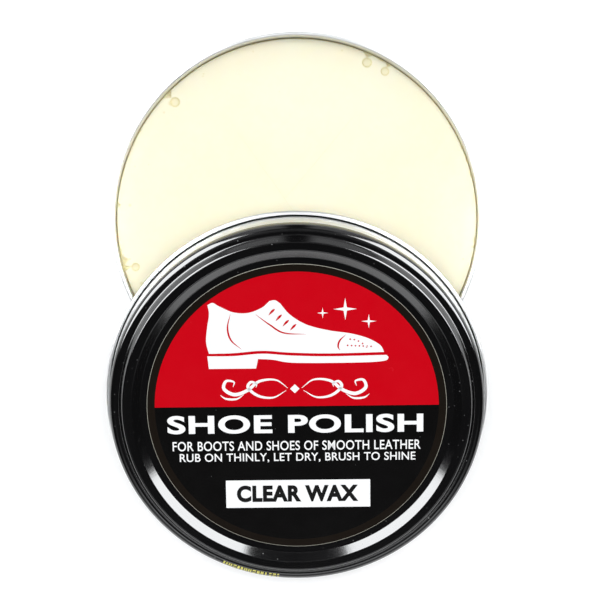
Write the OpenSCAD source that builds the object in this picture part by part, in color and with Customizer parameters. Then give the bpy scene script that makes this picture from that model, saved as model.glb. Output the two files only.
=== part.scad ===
// Shoe polish tin, open: a round tinplate can of set wax polish, with its
// press-on lid taken off and propped on the can's rim.
// The origin is the centre of the can's foot. +Z is up, and the lid lies
// towards -Y with its near edge on the ground.

/* [Can] */
// Diameter of the can, over its rolled rim
can_d = 86.8; // [84:0.1:87]
// Height of the can, foot to rim
can_h = 20; // [17:0.5:25]
// Diameter of the rolled rim
can_roll_d = 0.9; // [0.8:0.1:1.2]
// Outside radius of the heel, between floor and wall
heel_r = 1.3; // [1:0.1:2.5]
// Radius of the middle of the stiffening bead in the floor
floor_bead_r = 37; // [20:0.5:37]
// Height of the stiffening bead
floor_bead_h = 0.6; // [0.4:0.1:1]

/* [Lid] */
// Diameter of the lid, over its rolled edge
lid_d = 90; // [90:0.1:92]
// Diameter of the lid's rolled edge
lid_roll_d = 1.4; // [1:0.1:1.4]
// Height of the ledge above the lid's edge
ledge_h = 9; // [8:0.1:9.5]
// Outside radius of the shoulder, between skirt and ledge
shoulder_r = 1.6; // [1:0.1:1.8]
// Height of the crown ring above the lid's edge
crown_h = 10.9; // [10.7:0.1:12]
// Outside diameter of the crown ring at its top
crown_top_d = 81; // [80.6:0.1:81.6]
// Outside diameter of the crown ring at its foot
crown_foot_d = 83; // [82.4:0.1:83.2]
// Diameter of the recess at its mouth
recess_mouth_d = 76.8; // [76.4:0.1:77.4]
// Diameter of the recess at its floor
recess_floor_d = 73; // [72.6:0.1:73.6]
// Height of the recessed panel above the lid's edge
panel_h = 9.5; // [9:0.1:9.8]
// Radius of the crown's two rounded edges
crown_edge_r = 0.6; // [0.4:0.05:0.8]
// Radius of the hollow corner where the crown rises from the ledge
crown_foot_r = 0.5; // [0.3:0.05:0.7]

/* [Tinplate] */
// Thickness of the sheet
sheet_t = 0.2; // [0.18:0.01:0.25]

/* [Label] */
// Diameter of the round paper label
label_d = 69.7; // [60:0.1:71]
// Thickness of the label
label_t = 0.12; // [0.08:0.01:0.2]

/* [Wax] */
// Depth of the wax surface below the rim
wax_drop = 4.5; // [2:0.1:7]
// Gap left at the wall as the wax shrank on setting
wax_gap = 0.3; // [0.2:0.05:1]
// Depth over which the wax pulls away from the wall
wax_pull = 1.6; // [0.5:0.1:3]

/* [Propped lid] */
// Distance between the centres of can and lid, seen from above
lid_reach = 41.6; // [36:0.1:48]
// Height left under the lid's edge, at the rim and at the ground
rest_gap = 0.25; // [0.25:0.05:0.4]

/* [Hidden] */

$fn = 180;
ARC_STEPS = 6;
ROLL_STEPS = 20;
ROLL_SWEEP = 280;
LEAN_ROUNDS = 24;

half_t = sheet_t / 2;
// The wall of each part runs into a roll on its outer side.
can_roll_r = can_roll_d / 2;
can_roll_at = [can_d / 2 - can_roll_r, can_h - can_roll_r];
can_wall_r = can_roll_at.x - can_roll_r + half_t;
lid_roll_r = lid_roll_d / 2;
lid_roll_at = [lid_d / 2 - lid_roll_r, lid_roll_r];
lid_wall_r = lid_roll_at.x - lid_roll_r + half_t;
wax_top = can_h - wax_drop;
wax_fit = 0.02;

// ---- outlines of bent sheet ----

function unit(v) = v / norm(v);

// Points round one corner b of a path a-b-c, bent to radius r.
function bend(a, b, c, r) =
    let (
        to_a = unit(a - b),
        to_c = unit(c - b),
        half = acos(to_a * to_c) / 2,
        centre = b + unit(to_a + to_c) * r / sin(half),
        from = b + to_a * r / tan(half) - centre,
        start = atan2(from.y, from.x),
        turn = sign(cross(to_c, to_a)) * (180 - 2 * half)
    )
    arc(centre, r, start, turn, ARC_STEPS);

function arc(centre, r, start, turn, steps) =
    [for (i = [0:steps]) centre + r * [cos(start + turn * i / steps), sin(start + turn * i / steps)]];

// A path through the corners, each bent to its own radius.
function bent_path(corners, radii) =
    let (last = len(corners) - 1)
    concat(
        [corners[0]],
        [for (i = [1:last - 1]) each bend(corners[i - 1], corners[i], corners[i + 1], radii[i - 1])]
    );

function heading(path, i) =
    let (before = max(i - 1, 0), after = min(i + 1, len(path) - 1))
    unit(path[after] - path[before]);

// The path moved sideways by d, to its left when d is positive.
function side_of(path, d) =
    [for (i = [0:len(path) - 1]) path[i] + d * [-heading(path, i).y, heading(path, i).x]];

function reversed(path) = [for (i = [len(path) - 1:-1:0]) path[i]];

module sheet_outline(path) {
    polygon(concat(side_of(path, half_t), reversed(side_of(path, -half_t))));
}

// ---- middle lines of the two pressings, as [radius, height] ----

bead_slope = floor_bead_h + 0.2;
can_corners = [
    [0, half_t],
    [floor_bead_r - 2 * bead_slope, half_t],
    [floor_bead_r - bead_slope, half_t + floor_bead_h],
    [floor_bead_r + bead_slope, half_t + floor_bead_h],
    [floor_bead_r + 2 * bead_slope, half_t],
    [can_wall_r, half_t],
    [can_wall_r, can_roll_at.y]
];
bead_bends = [0.5, 0.5, 0.5, 0.5];
can_path = concat(
    bent_path(can_corners, concat(bead_bends, [heel_r - half_t])),
    arc(can_roll_at, can_roll_r - half_t, 180, -ROLL_SWEEP, ROLL_STEPS)
);

lid_corners = [
    [0, panel_h - half_t],
    [recess_floor_d / 2, panel_h - half_t],
    [recess_mouth_d / 2, crown_h - half_t],
    [crown_top_d / 2 - half_t, crown_h - half_t],
    [crown_foot_d / 2 - half_t, ledge_h - half_t],
    [lid_wall_r, ledge_h - half_t],
    [lid_wall_r, lid_roll_at.y]
];
// The crown's outer wall holds two bends, so each takes less than half of it.
crown_bend_most = 0.48 * (crown_h - ledge_h);
crown_bend = min(crown_edge_r - half_t, crown_bend_most);
foot_bend = min(crown_foot_r + half_t, crown_bend_most);
lid_path = concat(
    bent_path(lid_corners, [0.5, crown_bend, crown_bend, foot_bend, shoulder_r - half_t]),
    arc(lid_roll_at, lid_roll_r - half_t, 180, ROLL_SWEEP, ROLL_STEPS)
);

// ---- how the lid leans ----

// Height of the middle of the lid's roll, over its lowest point, where it crosses the can's rim at tilt t.
function crossing_height(t) =
    let (
        big = lid_roll_at.x,
        a = pow(big * sin(t), 2),
        b = 2 * lid_reach * big * cos(t),
        c = pow(big, 2) + pow(lid_reach, 2) - pow(can_roll_at.x, 2),
        s = 2 * c / (b + sqrt(b * b + 4 * a * c))
    )
    lid_roll_r + big * sin(t) * (1 + s);

leaning_height = can_h + lid_roll_r;

// The tilt at which the roll lies on the rim, halving the interval each round.
function lean(low, high, rounds) =
    let (mid = (low + high) / 2)
    rounds == 0 ? mid
        : crossing_height(mid) < leaning_height ? lean(mid, high, rounds - 1)
        : lean(low, mid, rounds - 1);

lid_tilt = lean(5, 40, LEAN_ROUNDS);
lid_centre_z = rest_gap + lid_roll_r + lid_roll_at.x * sin(lid_tilt);

module as_propped() {
    translate([0, -lid_reach, lid_centre_z])
        rotate([lid_tilt, 0, 0])
            translate([0, 0, -lid_roll_r])
                children();
}

// ---- sub-parts ----

// The can: one pressing, with a beaded floor, a straight wall and a rolled rim.
module can_body() {
    color([0.86, 0.87, 0.87])
        rotate_extrude()
            sheet_outline(can_path);
}

// The wax: cast in the can, level on top, and drawn in from the wall round its top edge.
module wax_cake() {
    inside = side_of(can_path, half_t + wax_fit);
    cake_r = can_wall_r - half_t;
    top_r = cake_r - wax_gap;
    cap = bent_path(
        [[0, wax_top], [top_r, wax_top], [top_r, wax_top - wax_pull / 2],
            [can_wall_r, wax_top - wax_pull], [can_wall_r, 0]],
        [0.3, 0.4, 0.4]
    );
    color([1, 0.98, 0.88])
        rotate_extrude()
            intersection() {
                polygon(concat(inside, [[0, can_h]]));
                polygon(concat(cap, [[can_wall_r, 0], [0, 0]]));
            }
}

// The lid: one pressing, with a recessed panel, a crown ring, a ledge and a rolled edge.
module lid_shell() {
    color([0.07, 0.07, 0.08])
        as_propped()
            rotate_extrude()
                sheet_outline(lid_path);
}

// The label: a paper disc stuck in the lid's recess.
module lid_label() {
    color([0.8, 0.02, 0.1])
        as_propped()
            translate([0, 0, panel_h])
                cylinder(h = label_t, d = label_d);
}

can_body();
wax_cake();
lid_shell();
lid_label();
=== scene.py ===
import math

import bmesh
import bpy
import numpy as np
from mathutils import Matrix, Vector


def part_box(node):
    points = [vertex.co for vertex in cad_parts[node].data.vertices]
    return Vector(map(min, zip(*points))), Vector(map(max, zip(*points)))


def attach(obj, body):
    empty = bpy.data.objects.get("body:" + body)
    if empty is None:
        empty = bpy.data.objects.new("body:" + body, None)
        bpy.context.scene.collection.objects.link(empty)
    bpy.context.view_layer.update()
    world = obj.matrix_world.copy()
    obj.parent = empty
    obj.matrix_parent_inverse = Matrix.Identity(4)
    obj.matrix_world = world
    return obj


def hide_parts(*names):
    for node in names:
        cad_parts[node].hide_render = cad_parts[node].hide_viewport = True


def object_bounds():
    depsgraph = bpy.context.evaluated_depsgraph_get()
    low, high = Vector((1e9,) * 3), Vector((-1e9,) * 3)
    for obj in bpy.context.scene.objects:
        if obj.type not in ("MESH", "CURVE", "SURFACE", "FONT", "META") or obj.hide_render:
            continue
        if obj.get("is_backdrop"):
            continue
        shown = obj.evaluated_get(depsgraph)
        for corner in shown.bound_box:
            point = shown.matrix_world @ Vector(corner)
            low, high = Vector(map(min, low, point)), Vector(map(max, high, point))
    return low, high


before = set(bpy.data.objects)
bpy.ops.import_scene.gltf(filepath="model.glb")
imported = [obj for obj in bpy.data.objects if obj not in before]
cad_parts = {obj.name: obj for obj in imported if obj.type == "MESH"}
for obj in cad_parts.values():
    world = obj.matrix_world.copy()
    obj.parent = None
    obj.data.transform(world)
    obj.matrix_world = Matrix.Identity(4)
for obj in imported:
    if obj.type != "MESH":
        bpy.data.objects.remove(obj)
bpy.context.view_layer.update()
scene = bpy.context.scene

MM = 0.001
SHEET_T = 0.2
HALF_T = SHEET_T / 2
TURNED_STEPS = 360
PRINT_T = 0.012

# ---- sizes of the can, the lid and the label ----

can_low, can_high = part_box("can_body")
wax_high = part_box("wax_cake")[1]
lid_low, lid_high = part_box("lid_shell")
label_low, label_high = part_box("lid_label")

CAN_D = (can_high.x - can_low.x) / MM
CAN_H = round(can_high.z / MM, 1)
CAN_ROLL_D = 0.9
HEEL_R = 1.3
FLOOR_BEAD_R = 37
FLOOR_BEAD_H = 0.6

LID_D = (lid_high.x - lid_low.x) / MM
LID_ROLL_D = 1.4
LEDGE_H = 9
SHOULDER_R = 1.6
CROWN_H = 10.9
CROWN_TOP_D = 81
CROWN_FOOT_D = 83
RECESS_MOUTH_D = 76.8
RECESS_FLOOR_D = 73
PANEL_H = 9.5
CROWN_EDGE_R = 0.6
CROWN_FOOT_R = 0.5
ENAMEL_LOW = 6.4

LABEL_R = (label_high.x - label_low.x) / 2 / MM
LABEL_T = 0.12
BAND_R = 33.0

WAX_TOP = wax_high.z / MM
WAX_R = 42.2
WAX_FIT = 0.02

# The tilt comes from the label's box: its run along Y and its rise, less its thickness.
label_d = 2 * LABEL_R * MM
rise, run = label_high.z - label_low.z, label_high.y - label_low.y
lid_tilt = math.atan2(rise, run)
for _ in range(20):
    lid_tilt = math.asin((rise - LABEL_T * MM * math.cos(lid_tilt)) / label_d)
LABEL_AT = (label_low + label_high) / 2
LID = (
    Matrix.Translation(LABEL_AT)
    @ Matrix.Rotation(lid_tilt, 4, "X")
    @ Matrix.Translation((0, 0, -(PANEL_H + LABEL_T / 2) * MM))
)
LABEL_TURN = math.radians(0.65)
LABEL_TOP = (
    LID
    @ Matrix.Translation((0, 0, (PANEL_H + LABEL_T) * MM))
    @ Matrix.Rotation(LABEL_TURN, 4, "Z")
)


# ---- outlines of bent sheet, as points of [radius, height] ----


def unit(v):
    return v / np.linalg.norm(v)


def arc(centre, r, start, turn, steps):
    t = np.radians(start + turn * np.linspace(0, 1, steps + 1))
    return np.c_[centre[0] + r * np.cos(t), centre[1] + r * np.sin(t)]


def bend(a, b, c, r, steps=8):
    """The points round one corner b of a path a-b-c, bent to radius r."""
    to_a, to_c = unit(a - b), unit(c - b)
    half = math.acos(float(to_a @ to_c)) / 2
    centre = b + unit(to_a + to_c) * r / math.sin(half)
    first = b + to_a * r / math.tan(half) - centre
    side = np.sign(to_c[0] * to_a[1] - to_c[1] * to_a[0])
    turn = side * (180 - math.degrees(2 * half))
    return arc(centre, r, math.degrees(math.atan2(first[1], first[0])), turn, steps)


def bent_path(corners, radii, tail):
    """A path through the corners, each bent to its radius.

    Points are kept near each bend, so that flats shade flat.
    """
    corners = [np.array(c, float) for c in corners]
    parts = [corners[0][None]]
    for i, r in enumerate(radii, 1):
        parts.append(bend(corners[i - 1], corners[i], corners[i + 1], r))
    parts.append(np.array(tail, float))
    path = [parts[0][-1]]
    for part in parts[1:]:
        start, end = path[-1], part[0]
        gap = np.linalg.norm(end - start)
        if gap > 0.4:
            for share in (0.08 / gap, 0.5, 1 - 0.08 / gap):
                path.append(start + (end - start) * share)
        path.extend(part)
    path = np.array(path)
    keep = np.r_[True, np.linalg.norm(np.diff(path, axis=0), axis=1) > 1e-6]
    return path[keep]


def side_of(path, d):
    """The path moved sideways by d, to its left when d is positive."""
    ahead = np.vstack([path[1:], path[-1:]])
    behind = np.vstack([path[:1], path[:-1]])
    heading = ahead - behind
    heading /= np.linalg.norm(heading, axis=1)[:, None]
    return path + d * np.c_[-heading[:, 1], heading[:, 0]]


can_roll_r = CAN_ROLL_D / 2
can_roll_at = (CAN_D / 2 - can_roll_r, CAN_H - can_roll_r)
can_wall_r = can_roll_at[0] - can_roll_r + HALF_T
lid_roll_r = LID_ROLL_D / 2
lid_roll_at = (LID_D / 2 - lid_roll_r, lid_roll_r)
lid_wall_r = lid_roll_at[0] - lid_roll_r + HALF_T
bead_slope = FLOOR_BEAD_H + 0.2

can_path = bent_path(
    [
        (0, HALF_T),
        (FLOOR_BEAD_R - 2 * bead_slope, HALF_T),
        (FLOOR_BEAD_R - bead_slope, HALF_T + FLOOR_BEAD_H),
        (FLOOR_BEAD_R + bead_slope, HALF_T + FLOOR_BEAD_H),
        (FLOOR_BEAD_R + 2 * bead_slope, HALF_T),
        (can_wall_r, HALF_T),
        (can_wall_r, can_roll_at[1]),
    ],
    [0.5, 0.5, 0.5, 0.5, HEEL_R - HALF_T],
    arc(can_roll_at, can_roll_r - HALF_T, 180, -280, 24),
)
lid_path = bent_path(
    [
        (0, PANEL_H - HALF_T),
        (RECESS_FLOOR_D / 2, PANEL_H - HALF_T),
        (RECESS_MOUTH_D / 2, CROWN_H - HALF_T),
        (CROWN_TOP_D / 2 - HALF_T, CROWN_H - HALF_T),
        (CROWN_FOOT_D / 2 - HALF_T, LEDGE_H - HALF_T),
        (lid_wall_r, LEDGE_H - HALF_T),
        (lid_wall_r, ENAMEL_LOW),
    ],
    [
        0.5,
        CROWN_EDGE_R - HALF_T,
        CROWN_EDGE_R - HALF_T,
        CROWN_FOOT_R + HALF_T,
        SHOULDER_R - HALF_T,
    ],
    np.vstack(
        [
            [[lid_wall_r, ENAMEL_LOW], [lid_wall_r, ENAMEL_LOW - 0.08]],
            arc(lid_roll_at, lid_roll_r - HALF_T, 180, 280, 28),
        ]
    ),
)


# ---- meshes ----


def add_mesh(name, verts, faces, slots=None, smooth=True, place=None):
    """A mesh object from points in millimetres, put in place by a matrix in metres."""
    mesh = bpy.data.meshes.new(name)
    mesh.from_pydata((np.asarray(verts) * MM).tolist(), [], faces)
    mesh.validate()
    if slots is not None:
        mesh.polygons.foreach_set("material_index", np.asarray(slots, np.int32))
    mesh.polygons.foreach_set("use_smooth", [smooth] * len(mesh.polygons))
    built = bmesh.new()
    built.from_mesh(mesh)
    bmesh.ops.recalc_face_normals(built, faces=built.faces)
    built.to_mesh(mesh)
    built.free()
    if place is not None:
        mesh.transform(place)
    obj = bpy.data.objects.new(name, mesh)
    scene.collection.objects.link(obj)
    return obj


def turned(name, outline, edge_slots, steps=TURNED_STEPS, place=None):
    """The outline turned about the Z axis. Its first and last points lie on the axis."""
    angle = np.linspace(0, 2 * math.pi, steps, endpoint=False)
    rings = outline[1:-1]
    x = rings[:, :1] * np.cos(angle)
    y = rings[:, :1] * np.sin(angle)
    z = np.repeat(rings[:, 1:], steps, axis=1)
    verts = np.stack([x, y, z], axis=2).reshape(-1, 3)
    verts = np.vstack([verts, [0, 0, outline[0][1]], [0, 0, outline[-1][1]]])
    first, last = len(verts) - 2, len(verts) - 1
    n = len(rings)
    j = np.arange(steps)
    k = (j + 1) % steps
    faces, slots = [], []
    for a, b in zip(j, k):
        faces.append((first, int(a), int(b)))
        slots.append(edge_slots[0])
    for i in range(n - 1):
        quads = np.c_[i * steps + j, i * steps + k, (i + 1) * steps + k, (i + 1) * steps + j]
        faces.extend(map(tuple, quads.tolist()))
        slots.extend([edge_slots[i + 1]] * steps)
    base = (n - 1) * steps
    for a, b in zip(j, k):
        faces.append((last, int(base + b), int(base + a)))
        slots.append(edge_slots[-1])
    return add_mesh(name, verts, faces, slots, place=place)


def sheet_loop(path):
    """The outline of the sheet round a middle line: out along its left side and back along its right."""
    left, right = side_of(path, HALF_T), side_of(path, -HALF_T)
    left[0, 0] = right[0, 0] = 0
    return np.vstack([left, right[::-1]]), len(left)


can_loop, _ = sheet_loop(can_path)
can = turned("tin_can", can_loop, [0] * (len(can_loop) - 1))

lid_loop, lid_left = sheet_loop(lid_path)


def on_enamel(i):
    """True for an edge of the outline on the lid's outside, above where the enamel ends."""
    start, end = lid_loop[i, 1], lid_loop[i + 1, 1]
    return i < lid_left - 1 and start > ENAMEL_LOW - 0.04 and end > ENAMEL_LOW - 0.1


enamelled = [0 if on_enamel(i) else 1 for i in range(len(lid_loop) - 1)]
lid = turned("tin_lid", lid_loop, enamelled, place=LID)

# ---- the wax ----

WAX_STEPS = 1440
# Bubbles in the wax, as [angle in degrees, radius from the axis, size, depth].
BUBBLES = [
    (65.7, 40.15, 1.15, 0.22),
    (59.0, 40.25, 1.0, 0.2),
    (136.4, 39.55, 1.15, 0.2),
    (-163.1, 39.6, 0.95, 0.14),
]
# Nicks in the wax's edge, as [angle, width before, width after, depth].
NICKS = [
    (66.3, 1.2, 1.9, 1.15),
    (59.0, 0.9, 1.2, 0.95),
    (136.3, 1.9, 1.9, 1.35),
    (175.8, 0.9, 0.9, 0.75),
    (-166.2, 1.9, 1.6, 1.7),
    (-163.7, 1.2, 1.0, 1.5),
    (-169.6, 1.6, 1.8, 0.5),
    (-6.8, 1.3, 1.2, 0.4),
    (-9.2, 0.5, 0.7, 0.25),
    (22.9, 0.3, 1.6, 0.2),
    (18.2, 0.3, 2.2, 0.16),
    (13.4, 0.3, 1.8, 0.2),
    (104.2, 0.8, 0.5, 0.12),
    (88.0, 0.4, 1.1, 0.1),
    (151.0, 1.0, 0.6, 0.18),
]
# Specks of amber oil, as [angle, radius from the axis, size, depth of colour].
SPECKS = [
    (65.9, 41.0, 0.34, 0.9),
    (59.3, 41.2, 0.3, 0.9),
    (137.7, 40.1, 0.6, 0.8),
    (136.9, 38.7, 0.22, 0.6),
    (122.9, 40.4, 0.2, 0.6),
    (141.5, 39.9, 0.28, 0.55),
    (123.5, 40.0, 0.22, 0.5),
    (104.7, 40.5, 0.22, 0.5),
    (74.9, 40.85, 0.24, 0.6),
    (162.3, 39.95, 0.2, 0.4),
    (175.6, 39.35, 0.36, 0.6),
    (-168.0, 41.75, 0.24, 0.8),
    (-166.2, 40.4, 0.24, 0.8),
    (-163.7, 40.6, 0.26, 0.8),
    (-157.1, 39.6, 0.42, 0.95),
    (-9.2, 41.9, 0.3, 0.9),
    (-13.8, 40.3, 0.2, 0.6),
]
DARK_EDGE_AT = 61.9
DARK_EDGE_SPAN = 3.4


def signed_turn(a, b):
    """a less b, in degrees, from -180 to 180."""
    return (a - b + 180) % 360 - 180


def wax_cake():
    """The wax: level on top, drawn in from the wall, with a nicked edge, bubbles and specks of oil."""
    rng = np.random.default_rng(7)
    deg = np.linspace(-180, 180, WAX_STEPS, endpoint=False)
    rad = np.radians(deg)
    wobble = sum(
        rng.normal(0, 0.03) * np.sin(k * rad + rng.uniform(0, 6.28)) for k in (3, 5, 8, 13, 21, 34, 55, 89)
    )
    edge = WAX_R + 0.4 * wobble
    nick = np.zeros(WAX_STEPS)
    for at, before, after, depth in NICKS:
        d = signed_turn(deg, at)
        share = np.where(d < 0, 1 + d / before, 1 - d / after)
        nick = np.maximum(nick, depth * np.clip(share, 0, 1))
    edge = edge - nick
    coarse = [1.5, 4, 8, 12, 16, 20, 24, 28, 31, 33.5, 35.5, 37, 38.2]
    fine = np.linspace(0, 1, 28) ** 0.9
    rows_r, rows_z, rows_amber = [], [], []
    for r in coarse:
        rows_r.append(np.full(WAX_STEPS, r))
        rows_z.append(np.full(WAX_STEPS, WAX_TOP))
        rows_amber.append(np.zeros(WAX_STEPS))
    for t in fine[1:]:
        r = coarse[-1] + (edge - coarse[-1]) * t
        rows_r.append(r)
        rows_z.append(np.full(WAX_STEPS, WAX_TOP) - 0.05 * t**24)
        # Painted shade: the amber tint rises at the very rim of the top, where it meets the shaded gap at
        # the wall.
        rows_amber.append(np.full(WAX_STEPS, 0.22 * t**30))
    top_rows = len(rows_r)
    # Down the broken side, to the shelf that is left in a nick, and into the gap at the wall.
    # Painted shade: the amber tint grows down this side and is full in the gap and underneath. It stands in
    # for the shade in the narrow gap between wax and wall.
    foot = np.maximum(edge + 0.06, WAX_R)
    for share, drop, amber in ((0.12, 0.12, 0.5), (0.5, 0.25, 0.75), (1, 0.4, 0.9)):
        rows_r.append(edge + 0.02 + (foot - edge - 0.02) * share)
        rows_z.append(np.full(WAX_STEPS, WAX_TOP - drop) - 0.25 * nick * share)
        rows_amber.append(np.full(WAX_STEPS, amber))
    cake_r = can_wall_r - HALF_T
    for r, drop in ((WAX_R + 0.12, 0.55), (cake_r - WAX_FIT, 0.9)):
        rows_r.append(np.full(WAX_STEPS, r))
        rows_z.append(np.full(WAX_STEPS, WAX_TOP - drop))
        rows_amber.append(np.full(WAX_STEPS, 1.0))
    inside = side_of(can_path, HALF_T + WAX_FIT)
    inside = inside[(inside[:, 1] < 8) & (inside[:, 0] > 0.5)][::-1]
    for r, z in inside:
        rows_r.append(np.full(WAX_STEPS, r))
        rows_z.append(np.full(WAX_STEPS, z))
        rows_amber.append(np.full(WAX_STEPS, 1.0))
    r, z, amber = np.array(rows_r), np.array(rows_z), np.array(rows_amber)
    x, y = r * np.cos(rad), r * np.sin(rad)
    top = np.zeros(r.shape, bool)
    top[:top_rows] = True
    # One short length of the edge, between two nicks, is coloured dark brown.
    dark_edge = np.clip(1.5 - np.abs(signed_turn(deg, DARK_EDGE_AT)) / DARK_EDGE_SPAN * 3, 0, 1)
    amber[top_rows - 2 : top_rows + 3] += dark_edge
    swell = (
        np.sin(0.31 * x + 0.17 * y + 1) + np.sin(-0.12 * x + 0.27 * y + 2) + np.sin(0.09 * x - 0.08 * y)
    )
    z = np.where(top, z + 0.012 * (swell - 3), z)
    for at, far, size, depth in BUBBLES:
        a = math.radians(at)
        d = np.hypot(x - far * math.cos(a), y - far * math.sin(a)) / size
        z = np.where(top, z - depth * np.clip(1 - d**2, 0, 1) ** 0.6, z)
        z = np.where(top, z + 0.02 * np.exp(-(((d - 1.1) / 0.1) ** 2)), z)
        ring = np.exp(-(((d - 0.9) / 0.13) ** 2)) * 0.95 + 0.45 * (d < 0.9)
        amber = np.where(top, np.maximum(amber, ring), amber)
    for at, far, size, tint in SPECKS:
        a = math.radians(at)
        d = np.hypot(x - far * math.cos(a), y - far * math.sin(a)) / size
        amber = np.where(top, np.maximum(amber, tint * np.exp(-(d**4))), amber)
    verts = np.stack([x, y, z], axis=2).reshape(-1, 3)
    n = len(r)
    verts = np.vstack([verts, [0, 0, z[0].mean()], [0, 0, inside[-1][1]]])
    middle, under = len(verts) - 2, len(verts) - 1
    j = np.arange(WAX_STEPS)
    k = (j + 1) % WAX_STEPS
    faces = [(middle, int(a), int(b)) for a, b in zip(j, k)]
    for i in range(n - 1):
        inner, outer = i * WAX_STEPS, (i + 1) * WAX_STEPS
        quads = np.c_[inner + j, outer + j, outer + k, inner + k]
        faces.extend(map(tuple, quads.tolist()))
    base = (n - 1) * WAX_STEPS
    faces.extend((under, int(base + b), int(base + a)) for a, b in zip(j, k))
    obj = add_mesh("wax", verts, faces)
    layer = obj.data.attributes.new("amber", "FLOAT", "POINT")
    layer.data.foreach_set("value", np.r_[amber.ravel(), 0.0, 1.0].astype(np.float32))
    return obj


wax = wax_cake()

# Hairline cracks in the wax, as points across its top.
CRACKS = [
    [
        (-0.2, 0.6), (-1.0, 1.9), (-2.0, 3.2), (-2.9, 4.6),
        (-5.2, 8.0), (-8.6, 12.6), (-11.5, 16.9), (-14.1, 20.2),
    ],
    [(-2.9, 4.6), (-0.4, 7.4), (3.1, 11.5), (7.6, 16.9), (11.6, 21.8), (14.4, 25.1)],
]


def crack(name, points, width=0.09):
    """A hairline ridge along a crack, thin at both ends."""
    points = np.array(points, float)
    verts, faces = [], []
    for i, p in enumerate(points):
        ahead = unit(points[min(i + 1, len(points) - 1)] - points[max(i - 1, 0)])
        side = np.array([-ahead[1], ahead[0]])
        half = width / 2 * (0.25 if i in (0, len(points) - 1) else 1)
        for across, up in ((-half, 0.004), (half, 0.004), (half, -0.06), (-half, -0.06)):
            q = p + side * across
            verts.append((q[0], q[1], WAX_TOP + up))
    for i in range(len(points) - 1):
        a, b = 4 * i, 4 * i + 4
        faces.extend((a + s, a + (s + 1) % 4, b + (s + 1) % 4, b + s) for s in range(4))
    last = 4 * (len(points) - 1)
    faces.append((0, 3, 2, 1))
    faces.append((last, last + 1, last + 2, last + 3))
    return add_mesh(name, verts, faces, smooth=False)


cracks = [crack(f"wax_crack_{i}", points) for i, points in enumerate(CRACKS, 1)]

# ---- the label ----

label_outline = np.array(
    [
        (0, -LABEL_T),
        (LABEL_R - 0.1, -LABEL_T),
        (LABEL_R - 0.01, -LABEL_T),
        (LABEL_R, -LABEL_T + 0.01),
        (LABEL_R, -0.03),
        (LABEL_R - 0.012, -0.006),
        (LABEL_R - 0.04, 0),
        (LABEL_R - 0.09, 0),
        (LABEL_R - 0.3, 0),
        (BAND_R, 0),
        (0, 0),
    ]
)
label = turned("label_paper", label_outline, [2, 2, 2, 2, 2, 2, 2, 1, 1, 0], place=LABEL_TOP)


def flat_loops(name, loops, low=0.004, thick=PRINT_T, place=LABEL_TOP):
    """A thin flat piece of print from closed loops of points. A loop inside another is a hole."""
    curve = bpy.data.curves.new(name, "CURVE")
    curve.dimensions = "2D"
    curve.fill_mode = "BOTH"
    curve.extrude = thick / 2
    for loop in loops:
        spline = curve.splines.new("POLY")
        spline.points.add(len(loop) - 1)
        for point, (x, y) in zip(spline.points, loop):
            point.co = (x, y, 0, 1)
        spline.use_cyclic_u = True
    return from_curve(name, curve, low, thick, place)


def from_curve(name, curve, low, thick, place, fit=None):
    """The curve as a closed mesh whose lowest face is at low, stretched to the box fit if given."""
    temp = bpy.data.objects.new(name + "_curve", curve)
    scene.collection.objects.link(temp)
    bpy.context.view_layer.update()
    mesh = bpy.data.meshes.new_from_object(temp.evaluated_get(bpy.context.evaluated_depsgraph_get()))
    bpy.data.objects.remove(temp)
    co = np.zeros(len(mesh.vertices) * 3)
    mesh.vertices.foreach_get("co", co)
    co = co.reshape(-1, 3)
    if fit is not None:
        (x0, x1), (y0, y1) = fit
        a, b = co.min(0), co.max(0)
        co[:, 0] = x0 + (co[:, 0] - a[0]) * (x1 - x0) / (b[0] - a[0])
        co[:, 1] = y0 + (co[:, 1] - a[1]) * (y1 - y0) / (b[1] - a[1])
    co[:, 2] += low + thick / 2
    mesh.vertices.foreach_set("co", (co * MM).ravel())
    built = bmesh.new()
    built.from_mesh(mesh)
    bmesh.ops.remove_doubles(built, verts=built.verts, dist=1e-7)
    bmesh.ops.recalc_face_normals(built, faces=built.faces)
    built.to_mesh(mesh)
    built.free()
    mesh.name = name
    mesh.materials.clear()
    mesh.transform(place)
    obj = bpy.data.objects.new(name, mesh)
    scene.collection.objects.link(obj)
    return obj


def lettering(name, words, fit, weight, spacing=1.0, low=0.018, thick=PRINT_T):
    """Plain generic words in Blender's own font, fitted to a box."""
    curve = bpy.data.curves.new(name, "FONT")
    curve.body = words
    curve.size = 10
    curve.offset = weight
    curve.space_character = spacing
    curve.extrude = thick / 2
    return from_curve(name, curve, low, thick, LABEL_TOP, fit)


def round_loop(r, steps=180, at=(0, 0)):
    t = np.linspace(0, 2 * math.pi, steps, endpoint=False)
    return np.c_[at[0] + r * np.cos(t), at[1] + r * np.sin(t)]


def rounded_box(x0, x1, y0, y1, r):
    corners = [(x1 - r, y1 - r, 0), (x0 + r, y1 - r, 90), (x0 + r, y0 + r, 180), (x1 - r, y0 + r, 270)]
    return np.vstack([arc((cx, cy), r, start, 90, 4) for cx, cy, start in corners])


def smooth_between(a, b, c, d, t):
    """The point a share t of the way from b to c, on a smooth line through a, b, c and d."""
    return 0.5 * (
        2 * b + (c - a) * t + (2 * a - 5 * b + 4 * c - d) * t**2 + (3 * b - 3 * c + d - a) * t**3
    )


def through(points, steps=7):
    """A smooth closed loop through the points. A point given twice makes a corner."""
    p = np.array(points, float)
    n = len(p)
    out = []
    for i in range(n):
        a, b, c, d = p[i - 1], p[i], p[(i + 1) % n], p[(i + 2) % n]
        if np.allclose(b, c):
            continue
        for t in np.linspace(0, 1, steps, endpoint=False):
            out.append(smooth_between(a, b, c, d, t))
    return np.array(out)


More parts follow.
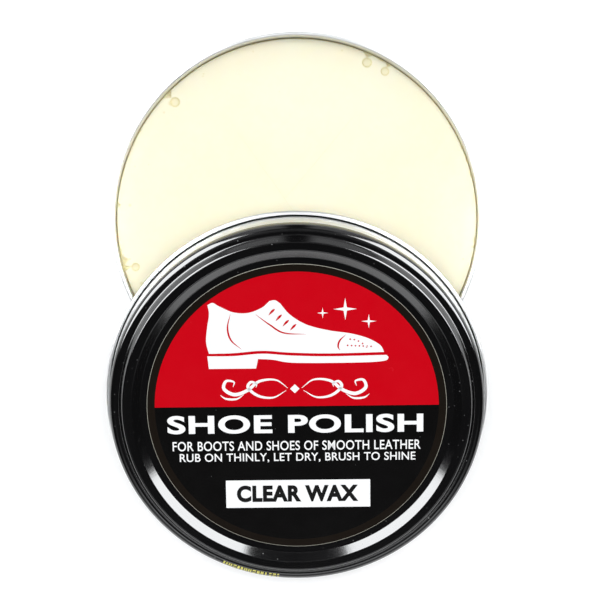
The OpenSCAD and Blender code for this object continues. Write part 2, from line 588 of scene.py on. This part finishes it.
def stroke(points, width, steps=10, ends=0.12):
    """A loop round an open line through the points, widest in its middle."""
    p = np.array(points, float)
    p = np.vstack([2 * p[0] - p[1], p, 2 * p[-1] - p[-2]])
    line = []
    for i in range(1, len(p) - 2):
        a, b, c, d = p[i - 1 : i + 3]
        for t in np.linspace(0, 1, steps, endpoint=False):
            line.append(smooth_between(a, b, c, d, t))
    line.append(p[-2])
    line = np.array(line)
    t = np.linspace(0, 1, len(line))
    half = width / 2 * (ends + (1 - ends) * np.sin(math.pi * t))
    left = side_of(line, 1) - line
    return np.vstack([line + left * half[:, None], (line - left * half[:, None])[::-1]])


def moved(loop, dx, dy, scale=1.0):
    return np.asarray(loop) * scale + np.array([dx, dy])


# The red half, whose straight lower edge lies just off the label's middle.
RED_LOW = 0.35
start = math.asin(RED_LOW / BAND_R)
t = np.linspace(start, math.pi - start, 181)
red_half = flat_loops("label_red_half", [np.c_[BAND_R * np.cos(t), BAND_R * np.sin(t)]])

# A laced shoe in profile, of our own drawing, with its toe to the right.
SHOE_UPPER = [
    (2.3, 3.7), (2.3, 3.7), (1.7, 6.5), (2.0, 10.0), (2.5, 13.2), (2.2, 15.5), (2.2, 15.5), (3.4, 16.0),
    (4.8, 15.2), (8.0, 13.7), (11.5, 13.5), (14.6, 14.7), (16.4, 16.3), (16.4, 16.3), (17.7, 16.5),
    (18.9, 15.7), (18.9, 15.7), (21.2, 12.9), (25.0, 10.5), (30.0, 9.1), (35.0, 8.3), (39.0, 7.1),
    (41.8, 5.4), (42.7, 3.7), (42.7, 3.7), (30.0, 3.5), (21.0, 3.8), (14.6, 4.3), (8.0, 3.8),
]
SHOE_SOLE = [
    (1.9, 3.1), (1.9, 3.1), (8.0, 3.1), (14.6, 3.6), (21.0, 3.1), (30.0, 2.8), (43.2, 3.0), (43.2, 3.0),
    (43.7, 2.3), (42.4, 1.5), (36.0, 1.2), (22.0, 1.3), (17.0, 2.1), (13.6, 2.3), (13.6, 2.3),
    (13.1, 0.0), (13.1, 0.0), (2.2, 0.0), (2.2, 0.0),
]
SHOE_SEAMS = [
    ([(33.9, 8.0), (32.5, 6.6), (32.1, 5.2), (32.5, 4.2)], 0.42),
    ([(7.4, 13.2), (6.7, 10.0), (7.4, 7.0), (9.8, 4.7)], 0.42),
    ([(13.2, 13.1), (16.4, 10.6), (19.6, 8.6), (24.8, 8.2)], 0.4),
]
SHOE_LACES = [(17.1, 13.9), (18.7, 12.5), (20.3, 11.2), (22.0, 10.2)]
shoe = [through(SHOE_UPPER), through(SHOE_SOLE)]
shoe += [stroke(points, width) for points, width in SHOE_SEAMS]
shoe += [stroke([(x - 0.9, y - 1.0), (x, y), (x + 0.55, y + 0.5)], 0.55) for x, y in SHOE_LACES]
shoe += [round_loop(0.2, 12, (34.9 + 0.95 * i, 6.9 - 0.12 * i * i)) for i in range(5)]
shoe += [round_loop(0.2, 12, (34.3 + 0.9 * i, 5.4 - 0.05 * i)) for i in range(7)]


def star(x, y, size):
    t = np.radians(90 + 45 * np.arange(8))
    r = np.where(np.arange(8) % 2 == 0, size, size * 0.2)
    return np.c_[x + r * np.cos(t), y + r * np.sin(t)]


shoe += [star(33.8, 14.2, 2.7), star(39.2, 11.2, 1.7), star(28.6, 13.3, 1.3)]
motif = flat_loops("label_shoe_motif", [moved(loop, -22.4, 9.7) for loop in shoe], low=0.018)

# A scroll under it, alike on both sides.
half_scroll = [
    (
        [
            (1.6, 4.5), (4.4, 6.5), (8.2, 6.2), (11.0, 4.0), (14.0, 3.0),
            (16.4, 4.4), (15.9, 6.3), (14.1, 6.1), (14.3, 4.9),
        ],
        0.85,
    ),
    ([(2.0, 3.9), (5.0, 2.2), (8.4, 2.6), (10.8, 4.6), (10.2, 6.0), (8.9, 5.6), (9.0, 4.7)], 0.7),
    ([(11.8, 3.0), (13.6, 1.9), (16.0, 2.0), (17.3, 2.9)], 0.5),
]
scroll = []
for points, width in half_scroll:
    line = stroke(points, width)
    scroll.append([line])
    scroll.append([(line * [-1, 1])[::-1]])
scroll.append([np.array([(0, 3.2), (1.1, 4.3), (0, 5.4), (-1.1, 4.3)])])
scrolls = [
    flat_loops(f"label_scroll_{i}", [moved(loop, -0.4, 0.35) for loop in loops], low=0.018)
    for i, loops in enumerate(scroll, 1)
]

title = lettering("label_title", "SHOE POLISH", ((-30.2, 29.4), (-6.3, -1.75)), 0.32, 1.08)

FINE_LINES = [
    ("FOR BOOTS AND SHOES OF SMOOTH LEATHER", ((-29.1, 28.8), (-10.55, -8.2))),
    ("RUB ON THINLY, LET DRY, BRUSH TO SHINE", ((-27.5, 27.6), (-13.55, -11.2))),
]
fine_print = [
    lettering(f"label_fine_line_{i}", words, fit, 0.1, 1.05)
    for i, (words, fit) in enumerate(FINE_LINES, 1)
]
plate = flat_loops("label_plate", [rounded_box(-16.85, 17.0, -24.9, -18.0, 0.15)], low=0.018)
plate_words = lettering(
    "label_plate_words", "CLEAR WAX", ((-14.3, 14.2), (-23.5, -19.3)), 0.5, 1.08, low=0.032
)

# ---- marks on the lid's shoulder, where a thumb presses to open it ----

top_path = side_of(lid_path, HALF_T)


def along_top(distance, lift):
    """The point that far out along the lid's top from where the ledge starts, and lift above it."""
    start = np.argmax(top_path[:, 0] > CROWN_FOOT_D / 2 + CROWN_FOOT_R + 0.02)
    line = side_of(lid_path, HALF_T + lift)[start:]
    step = np.r_[0, np.cumsum(np.linalg.norm(np.diff(top_path[start:], axis=0), axis=1))]
    return np.array([np.interp(distance, step, line[:, 0]), np.interp(distance, step, line[:, 1])])


def shoulder_mark(corners):
    """A thin mark on the shoulder from its corners, as [angle in degrees, distance along the top]."""
    steps = 4
    (a0, s0), (a1, s1) = corners
    verts, faces = [], []
    for lift in (0.004, 0.016):
        for i in range(steps + 1):
            for j in range(steps + 1):
                a = math.radians(a0 + (a1 - a0) * i / steps)
                r, z = along_top(s0 + (s1 - s0) * j / steps, lift)
                verts.append((r * math.cos(a), r * math.sin(a), z))
    n = steps + 1
    for base, flip in ((0, True), (n * n, False)):
        for i in range(steps):
            for j in range(steps):
                near, far = base + i * n + j, base + (i + 1) * n + j
                q = (near, far, far + 1, near + 1)
                faces.append(q[::-1] if flip else q)
    rim = [i * n for i in range(n)] + [(n - 1) * n + j for j in range(1, n)]
    rim += [i * n + n - 1 for i in range(n - 2, -1, -1)] + [j for j in range(n - 2, 0, -1)]
    for p, q in zip(rim, rim[1:] + rim[:1]):
        faces.append((p, q, q + n * n, p + n * n))
    return verts, faces


def press_marks():
    rng = np.random.default_rng(11)
    verts, faces = [], []

    def add(corners):
        v, f = shoulder_mark(corners)
        faces.extend(tuple(i + len(verts) for i in face) for face in f)
        verts.extend(v)

    for s0, s1, first, last in ((0.35, 1.35, -114, -96), (1.75, 2.75, -110, -98)):
        a = first
        while a < last:
            wide = rng.uniform(0.5, 1.1)
            if rng.random() < 0.85:
                kind = rng.integers(0, 3)
                if kind == 0:
                    add(((a, s0), (a + wide, s0 + 0.3)))
                    add(((a, s1 - 0.3), (a + wide, s1)))
                elif kind == 1:
                    add(((a, s0), (a + 0.35, s1)))
                    add(((a + wide - 0.35, s0), (a + wide, s1)))
                else:
                    add(((a + 0.2, s0), (a + 0.6, s1)))
            a += wide + 0.4
    return add_mesh("lid_press_marks", verts, faces, smooth=False, place=LID)


marks = press_marks()

# ---- materials ----


class Graph:
    """Short names for adding nodes to a material or a world."""

    def __init__(self, tree):
        self.tree = tree
        tree.nodes.clear()

    def node(self, kind, **values):
        made = self.tree.nodes.new(kind)
        for key, value in values.items():
            label = key.replace("_", " ")
            if hasattr(made, key) and label not in made.inputs:
                setattr(made, key, value)
        for key, value in values.items():
            label = key.replace("_", " ")
            if label in made.inputs:
                self.put(made.inputs[label], value)
        return made

    def put(self, socket, value):
        if isinstance(value, bpy.types.NodeSocket):
            self.tree.links.new(value, socket)
        else:
            socket.default_value = value

    def math(self, operation, *values):
        made = self.tree.nodes.new("ShaderNodeMath")
        made.operation = operation
        for socket, value in zip(made.inputs, values):
            self.put(socket, value)
        return made.outputs[0]

    def step(self, value, low, high):
        """0 below low and 1 above high, smooth between."""
        made = self.node("ShaderNodeMapRange", interpolation_type="SMOOTHSTEP")
        for name, v in (("Value", value), ("From Min", low), ("From Max", high)):
            self.put(made.inputs[name], v)
        return made.outputs[0]

    def between(self, value, low, high, soft):
        up = self.step(value, low - soft, low + soft)
        down = self.step(value, high - soft, high + soft)
        return self.math("MULTIPLY", up, self.math("SUBTRACT", 1.0, down))

    def mix(self, share, a, b):
        """Between colours a and b."""
        made = self.tree.nodes.new("ShaderNodeMix")
        made.data_type = "RGBA"
        self.put(made.inputs["Factor"], share)
        for socket, value in ((made.inputs[6], a), (made.inputs[7], b)):
            self.put(socket, (*value, 1) if isinstance(value, tuple) and len(value) == 3 else value)
        return made.outputs[2]

    def blend(self, share, a, b):
        """Between numbers a and b."""
        made = self.tree.nodes.new("ShaderNodeMix")
        self.put(made.inputs["Factor"], share)
        self.put(made.inputs[2], a)
        self.put(made.inputs[3], b)
        return made.outputs[0]

    def noise(self, vector, scale, detail=3.0, roughness=0.5):
        made = self.node("ShaderNodeTexNoise")
        for name, v in (("Vector", vector), ("Scale", scale), ("Detail", detail), ("Roughness", roughness)):
            self.put(made.inputs[name], v)
        return made.outputs[0]

    def specks(self, vector, scale, size, share):
        """1 in small round specks, in the share of the cells that have one."""
        cell = self.tree.nodes.new("ShaderNodeTexVoronoi")
        self.put(cell.inputs["Vector"], vector)
        self.put(cell.inputs["Scale"], scale)
        picked = self.node("ShaderNodeSeparateColor", Color=cell.outputs["Color"])
        spot = self.math("SUBTRACT", 1.0, self.step(cell.outputs["Distance"], size * 0.6, size))
        return self.math("MULTIPLY", spot, self.math("GREATER_THAN", picked.outputs[0], 1 - share))

    def axial(self, coords, along):
        """A vector that changes round the Z axis and only slowly along it, for drawn metal."""
        flat = self.node("ShaderNodeVectorMath", operation="MULTIPLY")
        self.put(flat.inputs[0], coords)
        self.put(flat.inputs[1], (1, 1, 0))
        ray = self.node("ShaderNodeVectorMath", operation="NORMALIZE")
        self.put(ray.inputs[0], flat.outputs[0])
        part = self.node("ShaderNodeSeparateXYZ", Vector=coords)
        up = self.node("ShaderNodeCombineXYZ", Z=self.math("MULTIPLY", part.outputs[2], along))
        both = self.node("ShaderNodeVectorMath", operation="ADD")
        self.put(both.inputs[0], ray.outputs[0])
        self.put(both.inputs[1], up.outputs[0])
        return both.outputs[0]

    def radius(self, coords):
        part = self.node("ShaderNodeSeparateXYZ", Vector=coords)
        x2 = self.math("POWER", part.outputs[0], 2.0)
        y2 = self.math("POWER", part.outputs[1], 2.0)
        return self.math("SQRT", self.math("ADD", x2, y2))

    def bump(self, height, distance, normal=None):
        made = self.node("ShaderNodeBump", Distance=distance, Height=height)
        if normal is not None:
            self.put(made.inputs["Normal"], normal)
        return made.outputs[0]


def new_material(name, on_lid=False, **settings):
    """A principled material, its graph, its shader node and its object coordinates.

    With on_lid, the coordinates are in the lid's own frame.
    """
    made = bpy.data.materials.new(name)
    made.use_nodes = True
    g = Graph(made.node_tree)
    shader = g.tree.nodes.new("ShaderNodeBsdfPrincipled")
    out = g.tree.nodes.new("ShaderNodeOutputMaterial")
    g.tree.links.new(shader.outputs[0], out.inputs["Surface"])
    for key, value in settings.items():
        g.put(shader.inputs[key.replace("_", " ")], value)
    coords = g.tree.nodes.new("ShaderNodeTexCoord").outputs["Object"]
    if on_lid:
        level = g.node("ShaderNodeMapping", vector_type="TEXTURE")
        g.put(level.inputs["Location"], LID.translation)
        g.put(level.inputs["Rotation"], (lid_tilt, 0, 0))
        g.put(level.inputs["Vector"], coords)
        coords = level.outputs[0]
    return made, g, shader, coords


def enamel_material():
    made, g, shader, coords = new_material("black_enamel", on_lid=True, IOR=1.9)
    dust = g.specks(coords, 900, 0.16, 0.2)
    lint = g.specks(coords, 320, 0.07, 0.25)
    marks = g.math("MAXIMUM", g.math("MULTIPLY", dust, 0.5), lint)
    patch = g.noise(coords, 120, 4)
    marks = g.math("MULTIPLY", marks, g.step(patch, 0.35, 0.7))
    g.put(shader.inputs["Base Color"], g.mix(marks, (0.0013, 0.0012, 0.0015), (0.3, 0.3, 0.3)))
    haze = g.noise(coords, 60, 5)
    rough = g.blend(haze, 0.07, 0.16)
    g.put(shader.inputs["Roughness"], g.math("ADD", rough, g.math("MULTIPLY", marks, 0.3)))
    drawn = g.axial(coords, 6.0)
    streaks = g.noise(drawn, 90, 3, 0.6)
    far = g.radius(coords)
    skirt = g.step(far, (lid_wall_r - 0.5) * MM, lid_wall_r * MM)
    recess_wall = g.between(far, (RECESS_FLOOR_D / 2 - 0.1) * MM, RECESS_MOUTH_D / 2 * MM, 0.3 * MM)
    steep = g.math("MAXIMUM", skirt, recess_wall)
    normal = g.bump(g.math("MULTIPLY", streaks, steep), 0.000004)
    peel = g.noise(coords, 900, 2)
    g.put(shader.inputs["Normal"], g.bump(peel, 0.0000025, normal))
    return made


def tinplate_material(name, on_lid):
    made, g, shader, coords = new_material(name, on_lid, Metallic=1.0)
    cloud = g.noise(coords, 90, 4)
    tone = g.mix(cloud, (0.86, 0.865, 0.87), (0.78, 0.785, 0.78))
    stain = g.step(g.noise(coords, 260, 3), 0.62, 0.75)
    tone = g.mix(g.math("MULTIPLY", stain, 0.25), tone, (0.72, 0.66, 0.5))
    if on_lid:
        # Painted shade: a dark ring is painted low on the skirt, just inside the rolled edge, standing in
        # for the shadow in the gap between them.
        high = g.node("ShaderNodeSeparateXYZ", Vector=coords).outputs[2]
        low = g.math("SUBTRACT", 1.0, g.step(high, (LID_ROLL_D - 0.15) * MM, (LID_ROLL_D + 0.2) * MM))
        inner, outer = (lid_wall_r + 0.04) * MM, (lid_wall_r + 0.38) * MM
        painted_crevice_shade = g.math("MULTIPLY", g.between(g.radius(coords), inner, outer, 0.03 * MM), low)
        # Painted shade: the near-black ring between the rolled edge and the skirt.
        tone = g.mix(painted_crevice_shade, tone, (0.02, 0.018, 0.014))
    g.put(shader.inputs["Base Color"], tone)
    drawn = g.axial(coords, 8.0)
    streaks = g.noise(drawn, 140, 4, 0.65)
    rough = g.blend(g.noise(coords, 400, 4), 0.34, 0.42)
    g.put(shader.inputs["Roughness"], g.math("ADD", rough, g.math("MULTIPLY", streaks, 0.06)))
    g.put(shader.inputs["Normal"], g.bump(streaks, 0.0000003))
    return made


def wax_material():
    made, g, shader, coords = new_material("wax", IOR=1.45)
    amber = g.node("ShaderNodeAttribute", attribute_name="amber").outputs["Fac"]
    cloud = g.noise(coords, 45, 3)
    tone = g.mix(g.step(cloud, 0.35, 0.65), (0.85, 0.8, 0.585), (0.84, 0.8, 0.61))
    far = g.radius(coords)
    peach = g.math("MULTIPLY", g.step(far, 0.034, 0.0415), g.step(g.noise(coords, 60, 2), 0.4, 0.65))
    tone = g.mix(g.math("MULTIPLY", peach, 0.5), tone, (0.87, 0.78, 0.56))
    fleck = g.specks(coords, 260, 0.06, 0.12)
    tone = g.mix(g.math("MULTIPLY", fleck, 0.18), tone, (0.66, 0.55, 0.28))
    # Golden tint by the amber attribute: real oil in the specks and bubbles, and painted shade in the gap
    # at the wall.
    tone = g.mix(amber, tone, (0.74, 0.66, 0.36))
    tone = g.mix(g.step(amber, 1.0, 1.9), tone, (0.16, 0.09, 0.02))
    g.put(shader.inputs["Base Color"], tone)
    g.put(shader.inputs["Subsurface Weight"], 0.4)
    g.put(shader.inputs["Subsurface Radius"], (1.0, 0.75, 0.4))
    g.put(shader.inputs["Subsurface Scale"], 0.0015)
    smear = g.noise(coords, 150, 5)
    g.put(shader.inputs["Roughness"], g.blend(smear, 0.3, 0.5))
    pits = g.specks(coords, 700, 0.12, 0.1)
    grain = g.noise(coords, 500, 5)
    height = g.math("SUBTRACT", grain, pits)
    g.put(shader.inputs["Normal"], g.bump(height, 0.00002))
    return made


def crack_material():
    made, g, shader, coords = new_material("wax_crack", IOR=1.45)
    tone = g.mix(g.noise(coords, 700, 3), (0.8, 0.74, 0.48), (0.84, 0.8, 0.6))
    g.put(shader.inputs["Base Color"], tone)
    g.put(shader.inputs["Roughness"], g.blend(g.noise(coords, 900, 3), 0.4, 0.6))
    g.put(shader.inputs["Normal"], g.bump(g.noise(coords, 2500, 3), 0.00001))
    return made


def print_material(name, dark, light, rough=(0.2, 0.3), shine=0.18, worn=(0.02, 0.02, 0.02), wear=0.0):
    """Printed ink on gloss paper: fine mottle, faint rub marks and a little dust."""
    made, g, shader, coords = new_material(name, on_lid=True, IOR=1.5, Specular_IOR_Level=shine)
    mottle = g.noise(coords, 1400, 4, 0.6)
    broad = g.noise(coords, 70, 3)
    tone = g.mix(g.math("MULTIPLY", g.math("ADD", mottle, broad), 0.5), dark, light)
    dust = g.specks(coords, 800, 0.09, 0.05)
    tone = g.mix(g.math("MULTIPLY", dust, wear), tone, worn)
    g.put(shader.inputs["Base Color"], tone)
    g.put(shader.inputs["Roughness"], g.blend(g.noise(coords, 250, 4), *rough))
    g.put(shader.inputs["Normal"], g.bump(g.noise(coords, 2200, 3), 0.000006))
    return made


ENAMEL = enamel_material()
TINPLATE = tinplate_material("tinplate", False)
LID_TINPLATE = tinplate_material("lid_tinplate", True)
WAX = wax_material()
CRACK = crack_material()
BLACK_INK = print_material(
    "label_black", (0.0012, 0.0011, 0.0011), (0.0025, 0.0022, 0.0022), worn=(0.2, 0.2, 0.2), wear=0.5
)
BORDER_INK = print_material("label_border", (0.006, 0.004, 0.0025), (0.01, 0.0065, 0.004))
PAPER_EDGE = print_material("label_paper_edge", (0.36, 0.35, 0.29), (0.5, 0.49, 0.42), rough=(0.6, 0.8))
RED_INK = print_material(
    "label_red", (0.55, 0.0, 0.005), (0.59, 0.0, 0.008), worn=(0.3, 0.0, 0.0), wear=0.4
)
WHITE_INK = print_material("label_white", (0.92, 0.92, 0.92), (0.96, 0.96, 0.96))
DARK_WORDS = print_material("label_dark_words", (0.006, 0.006, 0.006), (0.012, 0.012, 0.012))
YELLOW_INK = print_material("press_yellow", (0.8, 0.74, 0.16), (0.88, 0.82, 0.22))


def dress(obj, slot, body, *materials, node=None):
    """Give a piece its materials and the body it rides on. The slot is not used."""
    for made in materials:
        obj.data.materials.append(made)
    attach(obj, body)
    if node:
        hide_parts(node)


dress(can, "tinplate", "can", TINPLATE, node="can_body")
dress(wax, "wax", "can", WAX, node="wax_cake")
for piece in cracks:
    dress(piece, "wax", "can", CRACK)
dress(lid, "lid_enamel", "lid", ENAMEL, LID_TINPLATE, node="lid_shell")
dress(marks, "lid_enamel", "lid", YELLOW_INK)
dress(label, "label_paper", "lid", BLACK_INK, BORDER_INK, PAPER_EDGE, node="lid_label")
dress(red_half, "label_paper", "lid", RED_INK)
for piece in (motif, title, plate, *scrolls, *fine_print):
    dress(piece, "label_paper", "lid", WHITE_INK)
dress(plate_words, "label_paper", "lid", DARK_WORDS)

# ---- floor, light and camera ----

FLOOR_R = 300
CAMERA_UP = 600
CAMERA_LENS = 149.1
# How far the camera stands off the middle of the part's box, in X and Y.
CAMERA_OFF = (0.75, 1.76)


def pale_floor():
    floor = add_mesh(
        "floor",
        [(x, y, 0) for x, y in round_loop(FLOOR_R, 96)],
        [tuple(range(96))],
        smooth=False,
        place=Matrix.Translation((0, 0, -0.00002)),
    )
    made = bpy.data.materials.new("floor")
    made.use_nodes = True
    g = Graph(made.node_tree)
    sheet = g.node("ShaderNodeBsdfDiffuse", Color=(0.75, 0.75, 0.75, 1))
    glow = g.node("ShaderNodeEmission", Color=(1, 1, 1, 1), Strength=0.3)
    both = g.node("ShaderNodeAddShader")
    g.put(both.inputs[0], sheet.outputs[0])
    g.put(both.inputs[1], glow.outputs[0])
    out = g.node("ShaderNodeOutputMaterial")
    g.put(out.inputs["Surface"], both.outputs[0])
    floor.data.materials.append(made)
    floor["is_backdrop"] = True


# The light's strengths: the boxes as light, what they gain in reflections, and the rest.
BOX_LIGHT = 1.5
BOX_SHINE = 7.9
FRONT_LIGHT = 0.35
STRIP_LIGHT = 1.7
BEYOND_LIGHT = 0.55
OVERHEAD_LIGHT = 4.7
ROOM_LIGHT = 0.03


def studio_light():
    """Soft boxes left and right, low panels in front and beyond, and an overhead fill, in a dim room.

    Directions are the angle up from level, and the angle round from the X axis, alike on both sides.
    The boxes are brighter in reflections than as light, and the overhead fill isn't seen in them.
    """
    world = bpy.data.worlds.new("studio")
    scene.world = world
    world.use_nodes = True
    g = Graph(world.node_tree)
    way = g.node("ShaderNodeTexCoord").outputs["Generated"]
    part = g.node("ShaderNodeSeparateXYZ", Vector=way)
    x, y, z = part.outputs
    up = g.math("DEGREES", g.math("ARCSINE", z))
    around = g.math("DEGREES", g.math("ARCTAN2", y, g.math("ABSOLUTE", x)))
    path = g.node("ShaderNodeLightPath")
    glossy = path.outputs["Is Glossy Ray"]
    boxes = g.math("MULTIPLY", g.between(around, -4.0, 54.0, 1.5), g.between(up, 12.0, 63.0, 2.0))
    front = g.math("MULTIPLY", g.step(around, -48.0, -60.0), g.between(up, -30.0, 42.0, 5.0))
    strip = g.math("MULTIPLY", g.step(around, -66.0, -74.0), g.between(up, 35.0, 43.0, 1.5))
    beyond = g.math("MULTIPLY", g.between(around, 60.0, 84.0, 3.0), g.between(up, -10.0, 52.0, 6.0))
    overhead = g.math("MULTIPLY", g.step(up, 60.0, 68.0), g.step(y, -0.35, -0.1))
    overhead = g.math("MULTIPLY", overhead, g.math("SUBTRACT", 1.0, glossy))
    box_strength = g.math("ADD", BOX_LIGHT, g.math("MULTIPLY", glossy, BOX_SHINE))
    strength = g.math("MULTIPLY", boxes, box_strength)
    for region, value in (
        (front, FRONT_LIGHT),
        (strip, STRIP_LIGHT),
        (beyond, BEYOND_LIGHT),
        (overhead, OVERHEAD_LIGHT),
    ):
        strength = g.math("ADD", strength, g.math("MULTIPLY", region, value))
    strength = g.math("ADD", strength, ROOM_LIGHT)
    light = g.node("ShaderNodeBackground", Color=(0.97, 0.985, 1.0, 1), Strength=strength)
    plain = g.node("ShaderNodeBackground", Color=(1, 1, 1, 1), Strength=1.0)
    both = g.node("ShaderNodeMixShader")
    g.put(both.inputs[0], path.outputs["Is Camera Ray"])
    g.put(both.inputs[1], light.outputs[0])
    g.put(both.inputs[2], plain.outputs[0])
    out = g.node("ShaderNodeOutputWorld")
    g.put(out.inputs["Surface"], both.outputs[0])


def camera():
    """Straight above, with the lid towards the foot of the picture."""
    low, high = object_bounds()
    seen = bpy.data.cameras.new("camera")
    seen.sensor_width = 36
    seen.lens = CAMERA_LENS
    seen.clip_start = 0.01
    seen.clip_end = 5
    held = bpy.data.objects.new("camera", seen)
    held.location = (
        (low[0] + high[0]) / 2 + CAMERA_OFF[0] * MM,
        (low[1] + high[1]) / 2 + CAMERA_OFF[1] * MM,
        CAMERA_UP * MM,
    )
    scene.collection.objects.link(held)
    scene.camera = held


pale_floor()
studio_light()
camera()
scene.view_settings.view_transform = "Standard"
